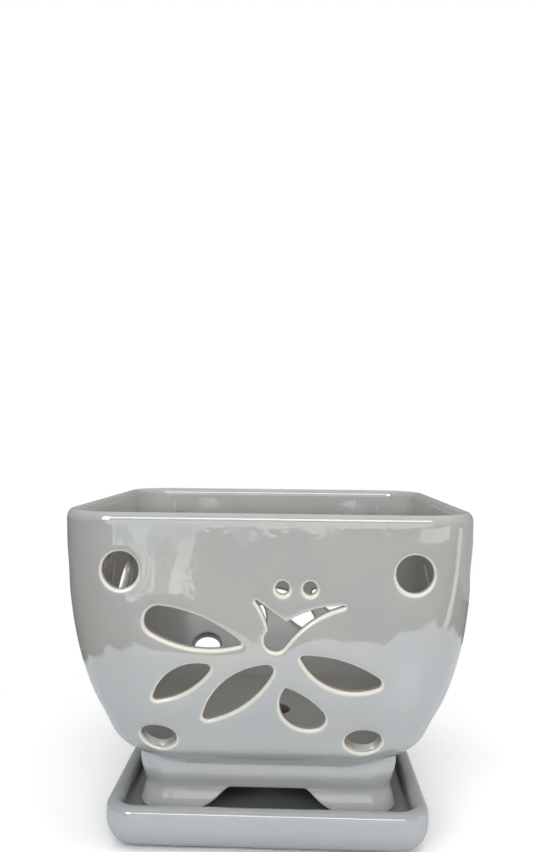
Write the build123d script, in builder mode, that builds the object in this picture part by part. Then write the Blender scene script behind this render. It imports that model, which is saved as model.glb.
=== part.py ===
"""Square glazed orchid pot with pierced sides, standing in its own square saucer.

The origin is at the middle of the saucer's base, +Z is up, and +Y points to the back.
The pot is one ceramic casting: a lofted bowl whose sides swell, turn under and are
pierced by round holes, petals and a forked slot, on a hollow moulded foot with arches.
"""

from build123d import *
import os

# Driving sizes, in millimetres
rim_width = 200.0
bowl_height = 127.8
rim_corner = 28.6
wall = 6.0
moulding_height = 12.8
moulding_inset = 0.5
moulding_drop = 3.1
crease_corner = 13.5
skirt_height = 11.4
foot_flare = 3.0
drain_diameter = 22.0
overrun = 5.0

# Sizes of the saucer, in millimetres
saucer_gap = 6.2
saucer_height = 22.0
saucer_corner = 16.0
saucer_floor_height = 15.0
saucer_floor_thickness = 7.0
saucer_rim = 8.2
saucer_under_round = 13.8
saucer_well_round = 2.0
foot_ring_width = 9.0

# Sizes of the round holes and of the arches in the foot, in millimetres
cut_start = 45.0
lower_hole_lean = 32.0
corner_hole_diameter = 17.6
lower_hole_height = 14.1
dot_diameter = 6.3
dot_spacing = 12.7
arch_top_half = 18.0
arch_foot_half = 42.0

# Bowl sections, from the underside to the rim, as shares of its height and half-width
section_height_shares = (0, 0.065, 0.157, 0.254, 0.356, 0.461, 0.568, 0.676, 0.784, 0.892, 1)
section_width_shares = (0.665, 0.772, 0.844, 0.905, 0.952, 0.982, 0.996, 1, 1, 1, 1)
# Corner radius of each section, as a share of the rim's corner radius
section_corner_shares = (1.1, 1.18, 1.32, 1.5, 1.63, 1.64, 1.52, 1.33, 1.16, 1.05, 1)

# Full rounding of the rims, as a share of their thickness
lip_round_share = 0.45

# Centres of the holes, as shares of the rim's half-width across and of the bowl's height
# up from its underside; the lower pair sits a little to one side, as it was cut by hand
upper_hole_shares = (0.682, 0.79)
lower_hole_shares = (-0.519, 0.463)
lower_hole_up_share = 0.1456
lower_hole_out_share = 0.84
dots_centre_shares = (0.138, 0.735)

# Petals: point, rounded end, how far the two long edges bulge and how round the two ends
# are, all as shares of the rim's half-width, with heights taken from the bowl's underside
petal_shares = (
    ((-0.105, 0.677), (-0.674, 0.843), 0.091, 0.067, 0.010, 0.067),
    ((-0.246, 0.571), (-0.536, 0.393), 0.042, 0.078, 0.020, 0.017),
    ((0.051, 0.581), (-0.305, 0.286), 0.058, 0.091, 0.028, 0.022),
    ((0.092, 0.471), (0.305, 0.295), 0.024, 0.133, 0.008, 0.060),
    ((0.154, 0.627), (0.558, 0.498), 0.040, 0.100, 0.013, 0.028),
)

# Forked slot, in the same shares: its corners, and points that its curved edges pass
fork_left_tip_shares = (-0.069, 0.901)
fork_notch_shares = (0.093, 0.783)
fork_right_tip_shares = (0.400, 0.865)
fork_base_shares = (0.090, 0.671)
fork_pinch_shares = (0.010, 0.740)
fork_arm_top_shares = (0.231, 0.845)
fork_arm_under_shares = (0.198, 0.780)
fork_base_round_shares = (-0.010, 0.694)
fork_left_edge_shares = (-0.014, 0.817)
fork_left_tip_round_share = 0.006
fork_right_tip_round_share = 0.004
fork_notch_round_share = 0.008
fork_base_corner_round_share = 0.022

# Point that each side of an arch passes, as shares of its width step and of its height
arch_bend_shares = (0.24, 0.65)

# Places worked out from the sizes
sides = 4
turn_step = 360 / sides
rim_half = rim_width / 2
crease_height = saucer_floor_height + skirt_height
bowl_base = crease_height + moulding_height
rim_height = bowl_base + bowl_height
floor_top = bowl_base + wall
underside_half = rim_half * section_width_shares[0]
moulding_half = underside_half - moulding_inset
crease_half = moulding_half - moulding_drop
foot_half = crease_half + foot_flare
well_half = foot_half + saucer_gap
saucer_half = well_half + saucer_rim
saucer_base_half = saucer_half - saucer_under_round
moulding_radius = (moulding_height**2 + moulding_drop**2) / (moulding_drop + moulding_drop)
arch_step = arch_foot_half - arch_top_half


def rounded_square(height, half, corner):
    """One level section: a square with round corners, centred on the pot's axis."""
    with BuildSketch(Plane.XY.offset(height)) as section:
        RectangleRounded(half + half, half + half, corner)
    return section.sketch


def outer_rows():
    """Height, half-width and corner radius of the bowl's outside, from its underside up."""
    rows = zip(section_height_shares, section_width_shares, section_corner_shares)
    return [
        (bowl_base + bowl_height * up, rim_half * width, rim_corner * corner)
        for up, width, corner in rows
    ]


def inner_rows():
    """The same rows moved one wall in, square to the wall, from the inner floor up."""
    outer = outer_rows()
    rows = []
    for below, row, above in zip(outer[:1] + outer, outer, outer[1:] + outer[-1:]):
        rise, swell = above[0] - below[0], above[1] - below[1]
        reach = (rise**2 + swell**2) ** 0.5
        height, half, corner = row
        rows.append((height + wall * swell / reach, half - wall * rise / reach, corner - wall))
    kept = [row for row in rows if row[0] > floor_top]
    low, high = rows[-len(kept) - 1], kept[0]
    climb_share = (floor_top - low[0]) / (high[0] - low[0])
    floor_row = [a + (b - a) * climb_share for a, b in zip(low, high)]
    return [floor_row, *kept]


def side_plane(turn, out, up=0, lean=0):
    """A plane across one side, facing outwards: its x runs along the side, its y up.

    A leaning plane faces down by that many degrees, square to a wall that turns under.
    """
    angle = turn * turn_step
    along = Vector(1, 0, 0).rotate(Axis.Z, angle)
    outwards = Vector(0, -1, 0).rotate(Axis.X, lean).rotate(Axis.Z, angle)
    middle = Vector(0, -out, up).rotate(Axis.Z, angle)
    return Plane(origin=middle, x_dir=along, z_dir=outwards)


def on_side(shares):
    """A place on a side: across from its middle and up from the bowl's underside."""
    across, up = shares
    return (rim_half * across, bowl_base + rim_half * up)


def on_bowl(shares):
    """A place on a side whose height is a share of the bowl's height."""
    across, up = shares
    return (rim_half * across, bowl_base + bowl_height * up)


def petal(point, end, bulge, belly, point_round, end_round):
    """A petal: two arcs that meet in a point at one end and in a rounder tip at the other."""
    start, stop = on_side(point), on_side(end)
    with BuildSketch() as outline:
        with BuildLine():
            SagittaArc(start, stop, rim_half * bulge)
            SagittaArc(stop, start, rim_half * belly)
        make_face()
        tips = outline.vertices().sort_by_distance(Vector(*start))
        fillet(tips[0], rim_half * point_round)
        tips = outline.vertices().sort_by_distance(Vector(*stop))
        fillet(tips[0], rim_half * end_round)
    return outline.sketch


def forked_slot():
    """The forked slot: two tapering arms that run out of one small rounded base."""
    left_tip, right_tip = on_side(fork_left_tip_shares), on_side(fork_right_tip_shares)
    notch, base = on_side(fork_notch_shares), on_side(fork_base_shares)
    pinch = on_side(fork_pinch_shares)
    with BuildSketch() as outline:
        with BuildLine():
            Line(left_tip, notch)
            ThreePointArc(notch, on_side(fork_arm_top_shares), right_tip)
            ThreePointArc(right_tip, on_side(fork_arm_under_shares), base)
            ThreePointArc(base, on_side(fork_base_round_shares), pinch)
            ThreePointArc(pinch, on_side(fork_left_edge_shares), left_tip)
        make_face()
        for corner, round_share in (
            (left_tip, fork_left_tip_round_share),
            (right_tip, fork_right_tip_round_share),
            (notch, fork_notch_round_share),
            (pinch, fork_notch_round_share),
            (base, fork_base_corner_round_share),
        ):
            nearest = outline.vertices().sort_by_distance(Vector(*corner))[0]
            fillet(nearest, rim_half * round_share)
    return outline.sketch


# The pattern that is cut through one side of the bowl
petals = [petal(*row) for row in petal_shares]
fork = forked_slot()
dots_across, dots_up = on_bowl(dots_centre_shares)
upper_across, upper_up = on_bowl(upper_hole_shares)
lower_left, lower_right = (rim_half * share for share in lower_hole_shares)
lower_up = bowl_base + bowl_height * lower_hole_up_share
lower_out = rim_half * lower_hole_out_share

# The pot: bowl, hollow moulded foot, arches and cut-outs, all one casting
with BuildPart() as pot:
    # Bowl: one loft through its outer sections, hollowed by a second one a wall further in
    loft([rounded_square(*row) for row in outer_rows()])
    loft([rounded_square(*row) for row in inner_rows()], mode=Mode.SUBTRACT)
    lip = pot.faces().sort_by(Axis.Z)[-1]
    fillet(lip.edges(), radius=wall * lip_round_share)

    # Foot: its wall's profile carried round the rounded square of the crease
    with BuildLine(Plane.XY.offset(crease_height)) as crease:
        add(rounded_square(crease_height, crease_half, crease_corner).edges())
    with BuildSketch(Plane.XZ) as foot_wall:
        with BuildLine():
            Polyline(
                (crease_half, crease_height),
                (foot_half, saucer_floor_height),
                (foot_half - wall, saucer_floor_height),
                (crease_half - wall, crease_height),
                (moulding_half - wall, bowl_base),
                (moulding_half - wall, bowl_base + overrun),
                (moulding_half, bowl_base + overrun),
                (moulding_half, bowl_base),
            )
            RadiusArc((moulding_half, bowl_base), (crease_half, crease_height), moulding_radius)
        make_face()
    sweep(path=crease.wires()[0])

    # Arches through the foot, both ways, with ogee sides that run out to the feet
    for turn in range(sides):
        with BuildSketch(side_plane(turn, 0)):
            with BuildLine():
                top_right = (arch_top_half, crease_height)
                foot_right = (arch_foot_half, saucer_floor_height)
                bend_right = (
                    arch_top_half + arch_step * arch_bend_shares[0],
                    saucer_floor_height + skirt_height * arch_bend_shares[1],
                )
                Line((0, crease_height), top_right)
                Spline(top_right, bend_right, foot_right, tangents=((1, 0), (1, 0)))
                Polyline(
                    foot_right,
                    (arch_foot_half, saucer_floor_height - overrun),
                    (0, saucer_floor_height - overrun),
                    (0, crease_height),
                )
            make_face()
            mirror(about=Plane.YZ)
        extrude(amount=foot_half + overrun, mode=Mode.SUBTRACT)

    # Drain hole in the middle of the bowl's floor
    with BuildSketch(Plane.XY.offset(bowl_base - overrun)):
        Circle(drain_diameter / 2)
    extrude(amount=wall + overrun + overrun, mode=Mode.SUBTRACT)

    # Cut-outs of each side: round holes, two small dots, petals and the forked slot
    for turn in range(sides):
        with BuildSketch(side_plane(turn, cut_start)):
            add(petals)
            add(fork)
            with Locations((-upper_across, upper_up), (upper_across, upper_up)):
                Circle(corner_hole_diameter / 2)
            with Locations((dots_across, dots_up)):
                with GridLocations(dot_spacing, 0, 2, 1):
                    Circle(dot_diameter / 2)
        extrude(amount=rim_half - cut_start + overrun, mode=Mode.SUBTRACT)
        # The lower holes are cut square to the wall, where it leans in to the foot
        with BuildSketch(side_plane(turn, lower_out, lower_up, lower_hole_lean)):
            with Locations((lower_left, 0), (lower_right, 0)):
                Ellipse(corner_hole_diameter / 2, lower_hole_height / 2)
        extrude(amount=wall + overrun, both=True, mode=Mode.SUBTRACT)

# The saucer: a shallow square tray with a rolled rim and a hollow base
with BuildPart() as saucer:
    with BuildSketch():
        RectangleRounded(saucer_half + saucer_half, saucer_half + saucer_half, saucer_corner)
    extrude(amount=saucer_height)
    fillet(saucer.faces().sort_by(Axis.Z)[0].edges(), radius=saucer_under_round)
    with BuildSketch(Plane.XY.offset(saucer_floor_height)):
        add(rounded_square(0, well_half, saucer_corner - saucer_rim))
    extrude(amount=saucer_height - saucer_floor_height, mode=Mode.SUBTRACT)
    well_bottom = saucer.faces().filter_by(Plane.XY).sort_by(Axis.Z)[1]
    fillet(well_bottom.edges(), radius=saucer_well_round)
    fillet(saucer.faces().sort_by(Axis.Z)[-1].edges(), radius=saucer_rim * lip_round_share)
    with BuildSketch():
        add(rounded_square(0, saucer_base_half - foot_ring_width, saucer_corner - saucer_rim))
    extrude(amount=saucer_floor_height - saucer_floor_thickness, mode=Mode.SUBTRACT)

os.makedirs("parts", exist_ok=True)
pot.part.label = "pot"
export_step(pot.part, "parts/pot.step")
saucer.part.label = "saucer"
export_step(saucer.part, "parts/saucer.step")
print("pot", pot.part.is_valid, "saucer", saucer.part.is_valid)
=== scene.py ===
# %% [markdown]
# # A square orchid pot with slots, in pearl-grey glaze
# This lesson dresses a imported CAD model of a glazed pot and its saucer. The CAD solids
# give every size. Here each casting is made again as one fine surface, so that its
# glossy glaze shows soft edges, a slight waviness and the pale lines where glaze runs thin.

# %% Load the frame
import math

import bpy
import mathutils
import numpy as np
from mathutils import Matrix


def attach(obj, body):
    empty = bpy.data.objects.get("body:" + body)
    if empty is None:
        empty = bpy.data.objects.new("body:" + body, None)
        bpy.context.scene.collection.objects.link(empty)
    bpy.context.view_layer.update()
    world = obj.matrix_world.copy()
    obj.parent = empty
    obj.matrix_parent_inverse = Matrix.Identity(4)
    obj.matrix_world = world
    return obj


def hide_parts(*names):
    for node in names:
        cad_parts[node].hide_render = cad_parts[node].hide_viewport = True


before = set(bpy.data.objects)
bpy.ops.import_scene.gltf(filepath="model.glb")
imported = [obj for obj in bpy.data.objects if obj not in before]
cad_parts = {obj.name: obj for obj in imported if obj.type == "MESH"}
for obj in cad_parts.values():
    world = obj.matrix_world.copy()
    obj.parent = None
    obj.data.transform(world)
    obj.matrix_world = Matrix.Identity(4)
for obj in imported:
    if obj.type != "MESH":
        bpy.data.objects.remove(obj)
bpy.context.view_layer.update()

# %% [markdown]
# ## Sizes
# All lengths are in millimetres and become metres when a mesh is made. They are the
# sizes of the CAD solids, so the fine surfaces lie on them. The bowl is a stack of
# rounded squares, so a table of half-widths and corner radii describes it.

# %% Sizes of the pot and the saucer, in millimetres
MM = 0.001
RIM_HALF = 100.0
BOWL_HEIGHT = 127.8
RIM_CORNER = 28.6
WALL = 6.0
LIP_HEIGHT = 4.6
SAUCER_FLOOR = 15.0
SKIRT_HEIGHT = 11.4
MOULDING_HEIGHT = 12.8
MOULDING_INSET = 0.5
MOULDING_DROP = 3.1
FOOT_FLARE = 3.0
CREASE_CORNER = 13.5
CREASE = SAUCER_FLOOR + SKIRT_HEIGHT
BOWL_BASE = CREASE + MOULDING_HEIGHT
RIM = BOWL_BASE + BOWL_HEIGHT
INNER_FLOOR = BOWL_BASE + WALL
DRAIN_RADIUS = 11.0

HEIGHT_SHARES = np.array((0, 0.065, 0.157, 0.254, 0.356, 0.461, 0.568, 0.676, 0.784, 0.892, 1))
WIDTH_SHARES = np.array((0.665, 0.772, 0.844, 0.905, 0.952, 0.982, 0.996, 1, 1, 1, 1))
CORNER_SHARES = np.array((1.1, 1.18, 1.32, 1.5, 1.63, 1.64, 1.52, 1.33, 1.16, 1.05, 1))

UNDERSIDE_HALF = RIM_HALF * WIDTH_SHARES[0]
MOULDING_HALF = UNDERSIDE_HALF - MOULDING_INSET
CREASE_HALF = MOULDING_HALF - MOULDING_DROP
FOOT_HALF = CREASE_HALF + FOOT_FLARE
print("rim", RIM, "mm above the table, underside of the bowl", BOWL_BASE)

# %% [markdown]
# ## A smooth curve through a table
# A potter's profile has no corners between the measured rows. A natural cubic spline
# joins them with one cubic per row, whose slopes and bends agree where rows meet.
# numpy has no spline of its own, so the bends are found from one small linear system.


# %% Natural cubic spline
def smooth_through(places, values, level_ends=False):
    """A function that passes smoothly through all rows.

    Between two rows it is the straight line, plus each row's bend times (share cubed
    minus share). The bends make the slopes agree. The ends are unbent, or else level:
    there twice the end's bend plus its neighbour's, times the gap, is six times the slope.
    """
    places, values = np.asarray(places, float), np.asarray(values, float)
    gaps = np.diff(places)
    slopes = np.diff(values) / gaps
    system = np.eye(len(places))
    wanted = np.zeros(len(places))
    rows = np.arange(1, len(places) - 1)
    system[rows, rows - 1] = gaps[:-1]
    system[rows, rows] = 2 * (gaps[:-1] + gaps[1:])
    system[rows, rows + 1] = gaps[1:]
    wanted[rows] = 6 * np.diff(slopes)
    if level_ends:
        system[0, :2] = system[-1, :-3:-1] = 2, 1
        wanted[0], wanted[-1] = 6 * slopes[0] / gaps[0], -6 * slopes[-1] / gaps[-1]
    bends = np.linalg.solve(system, wanted)

    def value(at):
        row = np.clip(np.searchsorted(places, at) - 1, 0, len(gaps) - 1)
        gap = gaps[row]
        far = (at - places[row]) / gap
        near = 1 - far
        line = values[row] * near + values[row + 1] * far
        curve = (near**3 - near) * bends[row] + (far**3 - far) * bends[row + 1]
        return line + curve * gap**2 / 6

    return value


row_heights = BOWL_BASE + BOWL_HEIGHT * HEIGHT_SHARES
half_spline = smooth_through(row_heights, RIM_HALF * WIDTH_SHARES)
corner_spline = smooth_through(row_heights, RIM_CORNER * CORNER_SHARES)


def outer_half(height):
    """Half-width of the bowl's outside at a height, never wider than the rim."""
    return np.minimum(half_spline(height), RIM_HALF)


print("half-width half way up", round(float(outer_half(RIM - BOWL_HEIGHT / 2)), 2))

# %% [markdown]
# ## The inner wall
# The casting has an even wall, so the inside is the outside moved 6 mm in, square to
# the surface. It is found on 600 points of the profile and then read by height.

# %% Inside of the bowl, a wall further in
PROFILE_POINTS = 600
profile_heights = np.linspace(BOWL_BASE, RIM, PROFILE_POINTS)
profile_halves = outer_half(profile_heights)
swell = np.gradient(profile_halves, profile_heights)
stretch = np.sqrt(1 + swell**2)
inside_heights = profile_heights + WALL * swell / stretch


def read_by_height(sizes):
    """A function that reads one size of the bowl's inside at a height."""
    return lambda height: np.interp(height, inside_heights, sizes)


inner_half = read_by_height(profile_halves - WALL / stretch)
inner_corner = read_by_height(corner_spline(profile_heights) - WALL)
print("inside the floor is", round(float(inner_half(INNER_FLOOR)), 1), "mm from the axis")

# %% [markdown]
# ## One side at a time
# Each side of a rounded square runs from one corner's diagonal to the next. Seen from
# the front, such a side is a height field: depth is a function of across and up. So
# one side is modelled in that flat view, and turned copies make the other three.

# %% Places on a rounded square
DIAGONAL = 1 - math.sqrt(0.5)


def diagonal_reach(half, corner):
    """How far across a side runs before it meets its neighbour on the diagonal."""
    return half - corner * DIAGONAL


def side_depth(across, half, corner):
    """Depth of the front side: flat in the middle, then the circle of the corner."""
    past = np.clip(np.abs(across) - (half - corner), 0, corner)
    return -(half - corner + np.sqrt(np.maximum(corner**2 - past**2, 0)))


def four_sides(points, faces, *values):
    """Turned copies of one side: each quarter turn swaps across and depth."""
    x, y, z = points.T
    turned = [np.stack(p, 1) for p in ((x, y, z), (-y, x, z), (-x, -y, z), (y, -x, z))]
    faces = np.concatenate([faces + len(x) * k for k in range(4)])
    return np.concatenate(turned), faces, *(np.tile(value, 4) for value in values)


print("the rim's sides meet", round(diagonal_reach(RIM_HALF, RIM_CORNER), 2), "mm across")

# %% [markdown]
# ## The cut-outs
# The potter cuts petals, a forked slot, round holes and two dots through each side. A
# petal is the overlap of two circles, a lens, with both tips rounded. A circle that
# touches two others from the inside has its centre where the two circles, shrunk by its
# radius, cross. So each rounded tip is exact.


# %% Outline of a petal
def from_bowl_base(share):
    """A place on a side, from shares of the rim's half-width above the underside."""
    return np.array((RIM_HALF * share[0], BOWL_BASE + RIM_HALF * share[1]))


def on_circle(centre, radius, angles):
    """Points of a circle at these angles."""
    return centre + radius * np.stack((np.cos(angles), np.sin(angles)), 1)


def arc_points(centre, radius, start, end, longest=1.5, sharpest=0.35):
    """Points of an arc, in steps under a longest length and a sharpest turn."""
    steps = max(abs(end - start) / sharpest, abs(end - start) * radius / longest)
    return on_circle(centre, radius, np.linspace(start, end, int(math.ceil(steps)) + 1))


def petal_outline(point, end, bulge, belly, point_round, end_round):
    """Lens of two circles through the same two tips, with a small circle in each tip.

    A circle with chord c and height h has the radius (c squared over 4 plus h squared)
    over 2h. The lens is walked once round: one long arc, one tip, the other arc and tip.
    That walk is clockwise, and the points are handed on anticlockwise.
    """
    start, stop = from_bowl_base(point), from_bowl_base(end)
    chord = stop - start
    length = np.hypot(*chord)
    along = chord / length
    aside = np.array((-along[1], along[0]))
    middle = (start + stop) / 2
    heights = np.array((bulge, belly)) * RIM_HALF
    radii = (length**2 / 4 + heights**2) / (2 * heights)
    left = middle - aside * (radii[0] - heights[0])
    right = middle + aside * (radii[1] - heights[1])
    apart = np.hypot(*(right - left))
    tips = []
    for way, small in ((-1, point_round * RIM_HALF), (1, end_round * RIM_HALF)):
        from_left, from_right = radii - small
        down = (apart**2 + from_left**2 - from_right**2) / (2 * apart)
        out = math.sqrt(from_left**2 - down**2)
        tips.append((left + (right - left) / apart * down + along * out * way, small))

    (start_tip, start_small), (stop_tip, stop_small) = tips
    ways = start_tip - left, stop_tip - left, stop_tip - right, start_tip - right
    angles = [math.atan2(way[1], way[0]) for way in ways]
    centres = left, stop_tip, right, start_tip
    radii = radii[0], stop_small, radii[1], start_small
    pieces = []
    for centre, radius, first, last in zip(centres, radii, angles, angles[1:] + angles[:1]):
        turn = (last - first) % (2 * math.pi)
        turn = turn if turn < 1e-9 else turn - 2 * math.pi
        pieces.append(arc_points(centre, radius, first, first + turn)[:-1])
    return np.concatenate(pieces)[::-1]


PETALS = (
    ((-0.105, 0.677), (-0.674, 0.843), 0.091, 0.067, 0.010, 0.067),
    ((-0.246, 0.571), (-0.536, 0.393), 0.042, 0.078, 0.020, 0.017),
    ((0.051, 0.581), (-0.305, 0.286), 0.058, 0.091, 0.028, 0.022),
    ((0.092, 0.471), (0.305, 0.295), 0.024, 0.133, 0.008, 0.060),
    ((0.154, 0.627), (0.558, 0.498), 0.040, 0.100, 0.013, 0.028),
)
petals = [petal_outline(*row) for row in PETALS]
print("points round each petal", [len(p) for p in petals])

# %% [markdown]
# The forked slot has one straight and four curved edges. A curved one passes through
# three points, and corners are rounded by trimming both edges and joining them with a
# short parabola. The right tip stops 2.4 mm short of the CAD's, filled with glaze.


# %% Outline of the forked slot
ARC_STEPS = 40
CORNER_STEPS = 8


def arc_through(first, middle, last):
    """Points of the circle through three points, from the first to the last.

    The centre is as far from all three, which is two linear equations.
    """
    rows = 2 * np.array((middle - first, last - first))
    wanted = (middle**2 - first**2).sum(), (last**2 - first**2).sum()
    centre = np.linalg.solve(rows, wanted)
    angles = np.unwrap([math.atan2(*(p - centre)[::-1]) for p in (first, middle, last)])
    sweep = np.linspace(angles[0], angles[2], ARC_STEPS)
    return on_circle(centre, np.hypot(*(first - centre)), sweep)


def resample(line, choose):
    """Points at other places along a line, chosen from the places of its own points."""
    run = np.concatenate(((0,), np.cumsum(np.hypot(*np.diff(line, axis=0).T))))
    at = choose(run)
    return np.stack([np.interp(at, run, line[:, k]) for k in (0, 1)], 1)


def trim_ends(line, start, end, spacing=1.4):
    """A line of points without a length at its start and one at its end."""

    def places(run):
        count = max(int((run[-1] - start - end) / spacing), 3)
        return np.linspace(start, run[-1] - end, count)

    return resample(line, places)


def fork_outline(corners, bends, rounds):
    """Arcs from corner to corner, each corner a parabola that touches both its arcs.

    The trim at a corner is its radius over the tangent of half the angle there. The
    corners go clockwise, and the points are handed on anticlockwise.
    """
    corners = [from_bowl_base(c) for c in corners]
    following = corners[1:] + corners[:1]
    arcs = [
        arc_through(first, from_bowl_base(bend), last)
        if bend
        else np.linspace(first, last, ARC_STEPS)
        for first, bend, last in zip(corners, bends, following)
    ]
    trims = []
    for k, (corner, radius) in enumerate(zip(corners, rounds)):
        before, after = arcs[k - 1][-2] - corner, arcs[k][1] - corner
        cosine = before @ after / np.hypot(*before) / np.hypot(*after)
        trims.append(RIM_HALF * radius / math.tan(math.acos(cosine) / 2))
    edges = [trim_ends(*row) for row in zip(arcs, trims, trims[1:] + trims[:1])]
    share = np.linspace(0, 1, CORNER_STEPS + 1)[1:-1, None]
    joined = []
    for edge, corner, after in zip(edges, following, edges[1:] + edges[:1]):
        curve = edge[-1] * (1 - share) ** 2 + corner * 2 * share * (1 - share)
        joined += [edge, curve + after[0] * share**2]
    return np.concatenate(joined)[::-1]


fork = fork_outline(
    corners=((-0.069, 0.901), (0.093, 0.783), (0.376, 0.862), (0.090, 0.671), (0.010, 0.740)),
    bends=(None, (0.231, 0.845), (0.198, 0.780), (-0.010, 0.694), (-0.014, 0.817)),
    rounds=(0.006, 0.008, 0.004, 0.022, 0.008),
)
print("points round the fork", len(fork))

# %% [markdown]
# Round holes and dots are circles in the front view. The two lower holes are cut square
# to the wall where it turns under, so each is an oval pushed along a leaning line until
# it meets the outside, and again until it meets the inside.


# %% Outlines of the round holes
HOLE_RADIUS = 8.8
LOWER_HOLE_UP_RADIUS = 7.05
DOT_RADIUS = 3.15
DOT_SPACING = 12.7
UPPER_HOLES = (0.682, 0.79)
DOTS = (0.138, 0.735)
LOWER_HOLES = (-0.519, 0.463)
LOWER_HOLE_UP = 0.1456
LOWER_HOLE_OUT = 84.0
LOWER_HOLE_LEAN = math.radians(32)
HOLE_POINTS = 44
DOT_POINTS = 26
HALVINGS = 40
TUBE_REACH = 30.0


def round_angles(count):
    """Evenly spaced angles of a full turn."""
    return np.linspace(0, 2 * math.pi, count, endpoint=False)


def leaning_hole(across, half, corner):
    """Where a leaning oval tube meets a wall, by halving the search again and again.

    A point of the tube is its oval plus a way along the tube. It lies outside the wall
    while its depth is in front of the wall's depth at the same place.
    """
    sine, cosine = math.sin(LOWER_HOLE_LEAN), math.cos(LOWER_HOLE_LEAN)
    angles = round_angles(HOLE_POINTS)
    x = across + HOLE_RADIUS * np.cos(angles)
    oval = LOWER_HOLE_UP_RADIUS * np.sin(angles)
    low, high = -TUBE_REACH + 0 * x, TUBE_REACH + 0 * x
    for _ in range(HALVINGS):
        way = (low + high) / 2
        y = -LOWER_HOLE_OUT - oval * sine - way * cosine
        z = lower_up + oval * cosine - way * sine
        in_front = y < side_depth(x, half(z), corner(z))
        low, high = np.where(in_front, low, way), np.where(in_front, way, high)
    return np.stack((x, z), 1)


upper_up = BOWL_BASE + BOWL_HEIGHT * UPPER_HOLES[1]
dots_up = BOWL_BASE + BOWL_HEIGHT * DOTS[1]
lower_up = BOWL_BASE + BOWL_HEIGHT * LOWER_HOLE_UP
straight_cuts = petals + [fork]
for sign in (-1, 1):
    hole = sign * RIM_HALF * UPPER_HOLES[0], upper_up
    dot = RIM_HALF * DOTS[0] + sign * DOT_SPACING / 2, dots_up
    straight_cuts.append(on_circle(hole, HOLE_RADIUS, round_angles(HOLE_POINTS)))
    straight_cuts.append(on_circle(dot, DOT_RADIUS, round_angles(DOT_POINTS)))
OUTER_WALL = outer_half, corner_spline
INNER_WALL = inner_half, inner_corner
outer_cuts, inner_cuts = (
    straight_cuts + [leaning_hole(RIM_HALF * share, *wall) for share in LOWER_HOLES]
    for wall in (OUTER_WALL, INNER_WALL)
)
print("cut-outs in a side", len(outer_cuts), "points", sum(map(len, outer_cuts)))


# %% [markdown]
# ## Soft edges round the cut-outs
# Glaze rounds every cut edge. Near an outline the skin sinks by a quarter circle of the
# distance to it. Rings of points at chosen distances give the curve enough points, and
# rings that would cross in a narrow notch are dropped by measuring the true distance.


# %% Distances to the outlines
CLEAR_SHARE = 0.985


def distance_to(points, outline):
    """Least distance from each point to the outline's straight pieces."""
    start = outline[None]
    step = np.roll(outline, -1, 0)[None] - start
    away = points[:, None] - start
    share = np.clip((away * step).sum(2) / (step**2).sum(2), 0, 1)
    return np.sqrt(((away - step * share[..., None]) ** 2).sum(2)).min(1)


def inside(points, outline):
    """Whether each point lies inside the outline, by counting crossings to its right."""
    x, y = points[:, :1], points[:, 1:]
    ax, ay = outline.T
    bx, by = np.roll(outline, -1, 0).T
    rise = np.where(by == ay, 1e-12, by - ay)
    crosses = ((ay > y) != (by > y)) & (x < (bx - ax) * (y - ay) / rise + ax)
    return crosses.sum(1) % 2 == 1


def ring(outline, away):
    """Points at one distance outside an anticlockwise outline, but none that is nearer."""
    ahead = np.roll(outline, -1, 0) - np.roll(outline, 1, 0)
    normal = np.stack((ahead[:, 1], -ahead[:, 0]), 1) / np.hypot(*ahead.T)[:, None]
    points = outline + normal * away
    return points[distance_to(points, outline) > away * CLEAR_SHARE]


bridge = distance_to(outer_cuts[0], outer_cuts[1]).min()
print("the first petal is", round(bridge, 1), "mm from the second")

# %% [markdown]
# ## A skin with holes
# Each skin of a side is a grid in the front view, with rings round the cut-outs and the
# outlines as fixed edges. A constrained Delaunay triangulation joins the points, and
# triangles inside an outline are thrown away.


# %% Triangles of one skin
NEAREST_GRID_SHARE = 0.45
TINY = 1e-6


def skin(cuts, half, corner, low, rows, rings):
    """(points in the front view, triangles, distance of each point to a cut-out).

    Rows are even in height and columns in the share of the side's reach, so neighbouring
    sides have the same edge points. The triangulation works in single precision, so only
    its corner numbers are used, with the places that went in.
    """
    heights = np.linspace(low, LIP_START, rows)
    share, height = (a.ravel() for a in np.meshgrid(side_shares, heights))
    grid = np.stack((share * diagonal_reach(half(height), corner(height)), height), 1)
    nearest = np.min([distance_to(grid, c) for c in cuts], 0)
    in_any = np.any([inside(grid, c) for c in cuts], 0)
    spacing = heights[1] - low
    border = (np.abs(share) > 1 - TINY) | (height < low + TINY) | (height > LIP_START - TINY)
    clear = nearest > rings[-1] + spacing * NEAREST_GRID_SHARE
    kept = grid[border | (clear & ~in_any)]
    extra = [ring(c, away) for c in cuts for away in rings]
    points = np.concatenate([kept, *extra, *cuts])
    first = first_on_cut = len(points) - sum(map(len, cuts))
    edges = []
    for c in cuts:
        ids = first + np.arange(len(c))
        edges += np.stack((ids, np.roll(ids, -1)), 1).tolist()
        first += len(c)
    across, height = points.T
    across = across / diagonal_reach(half(height), corner(height)) * RIM_HALF
    found = mathutils.geometry.delaunay_2d_cdt(
        [mathutils.Vector(p) for p in zip(across, height)],
        edges,
        [],
        0,
        TINY,
    )
    source = np.array([max(went_in) for went_in in found[3]])
    triangles = np.array([f for f in found[2] if len(f) == 3])
    points = points[source]
    middles = points[triangles].mean(1)
    triangles = triangles[~np.any([inside(middles, c) for c in cuts], 0)]
    away = np.min([distance_to(points, c) for c in cuts], 0)
    away[source >= first_on_cut] = 0
    return points, triangles, away


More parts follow.
